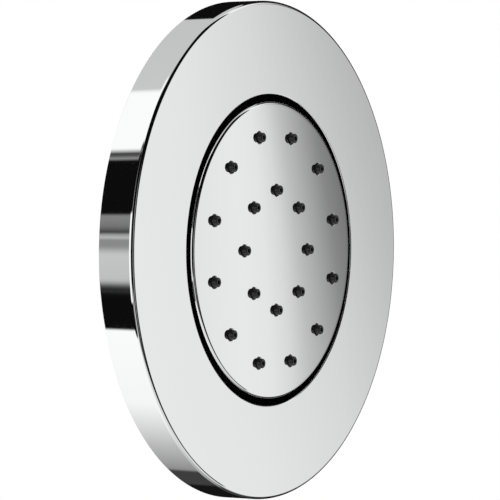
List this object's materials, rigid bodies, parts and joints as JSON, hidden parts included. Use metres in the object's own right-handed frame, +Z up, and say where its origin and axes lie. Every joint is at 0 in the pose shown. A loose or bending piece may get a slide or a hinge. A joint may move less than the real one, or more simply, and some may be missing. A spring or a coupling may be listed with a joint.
{
  "type": "shower body jet",
  "caption": "Round recessed shower body jet: chromed cover plate, domed spray disc with soft nozzles on a ball joint, and a threaded inlet behind the wall.",
  "frame": {"origin": "centre of the wall plane, on the jet's axis", "axes": "+Z up, -Y out of the wall into the room, +Y along the inlet into the wall, +X to the right as seen from the room"},
  "size_m": [0.12, 0.0643, 0.12],
  "materials": {
    "chromed_brass": "mirror chrome plate",
    "brass": "turned brass",
    "spring_steel": "bright stainless steel",
    "black_moulding": "fine matt moulding",
    "white_plastic": "smooth moulding",
    "charcoal_silicone": "satin silicone",
    "black_rubber": "smooth rubber",
    "grey_foam": "closed-cell foam"
  },
  "bodies": {
    "wall_set": {"cover_plate": "chromed_brass", "cover_o_ring": "black_rubber", "wall_cup": "black_moulding", "wall_gasket": "grey_foam", "cup_washer": "black_rubber", "inlet_body": "brass", "lock_washer": "spring_steel", "lock_nut": "brass", "ball_nut": "brass", "front_seat": "white_plastic", "regulator_body": "white_plastic", "regulator_ring": "black_rubber", "inlet_strainer": "white_plastic"},
    "seat_pack": {"rear_seat": "white_plastic", "seat_o_ring": "black_rubber"},
    "spray_head": {"ball_stem": "brass", "stem_washer": "black_rubber", "head_housing": "black_moulding", "chamber_o_ring": "black_rubber", "nozzle_carrier": "white_plastic", "nozzle_mat": "charcoal_silicone", "spray_plate": "chromed_brass", "snap_ring": "spring_steel"}
  },
  "joints": [
    {"name": "head_turn", "type": "hinge", "parent": "wall_set", "child": "seat_pack", "pos_m": [0, 0.0104, 0], "axis": [0, 1, 0], "continuous": true},
    {"name": "head_tilt", "type": "hinge", "parent": "seat_pack", "child": "spray_head", "pos_m": [0, 0.0104, 0], "axis": [1, 0, 0], "range_deg": [-8, 8]}
  ]
}
